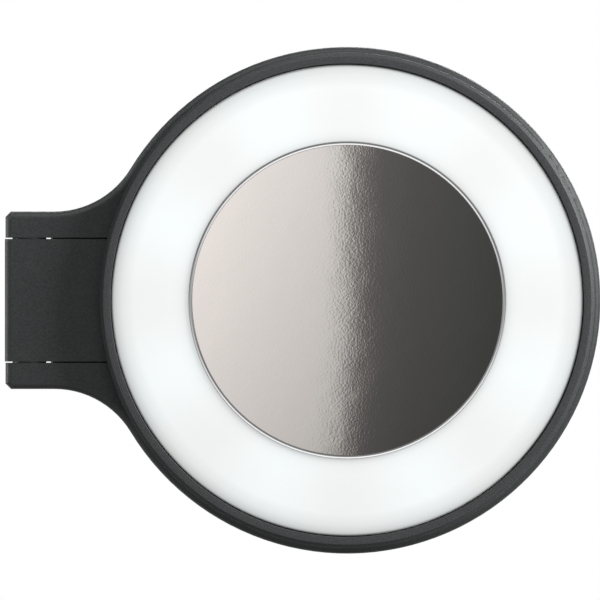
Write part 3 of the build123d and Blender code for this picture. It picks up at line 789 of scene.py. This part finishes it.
class MIRROR_OT_studio(bpy.types.Operator):
    """Set up the floor, the lights and the camera"""

    bl_idname = "mirror.studio"
    bl_label = "Studio"

    def execute(self, context):
        scene = context.scene
        stage = scene.mirror_stage
        scene.view_settings.view_transform = "Standard"
        scene.view_settings.look = "None"
        studio_world(stage.room_light)

        half = 1.4
        corners = [(-half, -half, 0), (half, -half, 0), (half, half, 0), (-half, half, 0)]
        floor_mesh = bpy.data.meshes.new("floor")
        floor_mesh.from_pydata(corners, [], [(0, 1, 2, 3)])
        floor_mesh.materials.append(pale_floor())
        floor = bpy.data.objects.new("floor", floor_mesh)
        scene.collection.objects.link(floor)
        floor.location = (HEAD_CENTRE[0], 0.0, -stage.floor_drop)
        # the head hangs on a wall, so the floor throws no light on it
        floor.visible_diffuse = False
        floor.visible_glossy = False

        # a lamp would show in the glass and its rim as a hard white patch: they mirror the room alone
        mirrors = ("concave_glass", "polished_rim")
        front = (HEAD_CENTRE[0], -0.05, 0.0)
        back = (HEAD_CENTRE[0], 0.0, 0.0)
        area_light("right_light", (1.3, -0.62, 0.56), front, (0.8, 0.9), stage.right_power, mirrors)
        area_light("top_light", (-0.4, -0.75, 1.2), front, (1.0, 0.6), stage.top_power, mirrors)
        # the arm's end is lit from the left, and the bezel is screened from that light
        screened = mirrors + ("bezel",)
        area_light("left_light", (-1.4, 0.14, 0.3), front, (0.3, 0.8), stage.left_power, screened)
        area_light("back_light", (0.5, 1.5, 0.9), back, (1.6, 1.2), stage.back_power, mirrors)

        # frame_width is measured in the view plane, and the arm's end stands a margin inside its left
        margin, view_plane = 2.1 * MM, 45.8 * MM
        middle_x = CAD_BOX[0][0] - margin + stage.frame_width / 2
        data = bpy.data.cameras.new("camera")
        data.sensor_width = 36.0
        data.lens = data.sensor_width * stage.camera_distance / stage.frame_width
        data.dof.use_dof = False
        data.clip_end = 4 * stage.camera_distance
        camera = bpy.data.objects.new("camera", data)
        scene.collection.objects.link(camera)
        camera.location = (middle_x, -view_plane - stage.camera_distance, stage.camera_raise)
        camera.rotation_euler = (math.radians(90), 0.0, 0.0)
        scene.camera = camera
        return {"FINISHED"}


PIECES = (
    MIRROR_OT_coated_castings, MIRROR_OT_light_ring, MIRROR_OT_mirror_glass, MIRROR_OT_plastics,
    MIRROR_OT_metal_hardware, MIRROR_OT_electronics, MIRROR_OT_studio,
)


class MIRROR_PT_pieces(bpy.types.Panel):
    """Lists the pieces and the stage"""

    bl_idname = "MIRROR_PT_pieces"
    bl_label = "Extendable Mirror"
    bl_space_type = "VIEW_3D"
    bl_region_type = "UI"
    bl_category = "Mirror"

    def draw(self, context):
        for settings_name, settings_class in SETTINGS.items():
            box = self.layout.box()
            for field in settings_class.__annotations__:
                box.prop(getattr(context.scene, settings_name), field)
        for piece in PIECES:
            self.layout.operator(piece.bl_idname)


CLASSES = (*SETTINGS.values(), *PIECES, MIRROR_PT_pieces)


def register():
    for item in CLASSES:
        bpy.utils.register_class(item)
    for settings_name, settings_class in SETTINGS.items():
        setattr(bpy.types.Scene, settings_name, PointerProperty(type=settings_class))


def unregister():
    for settings_name in SETTINGS:
        delattr(bpy.types.Scene, settings_name)
    for item in reversed(CLASSES):
        bpy.utils.unregister_class(item)


def main():
    register()
    for piece in PIECES:
        group, action = piece.bl_idname.split(".")
        getattr(getattr(bpy.ops, group), action)()


if __name__ == "__main__":
    main()
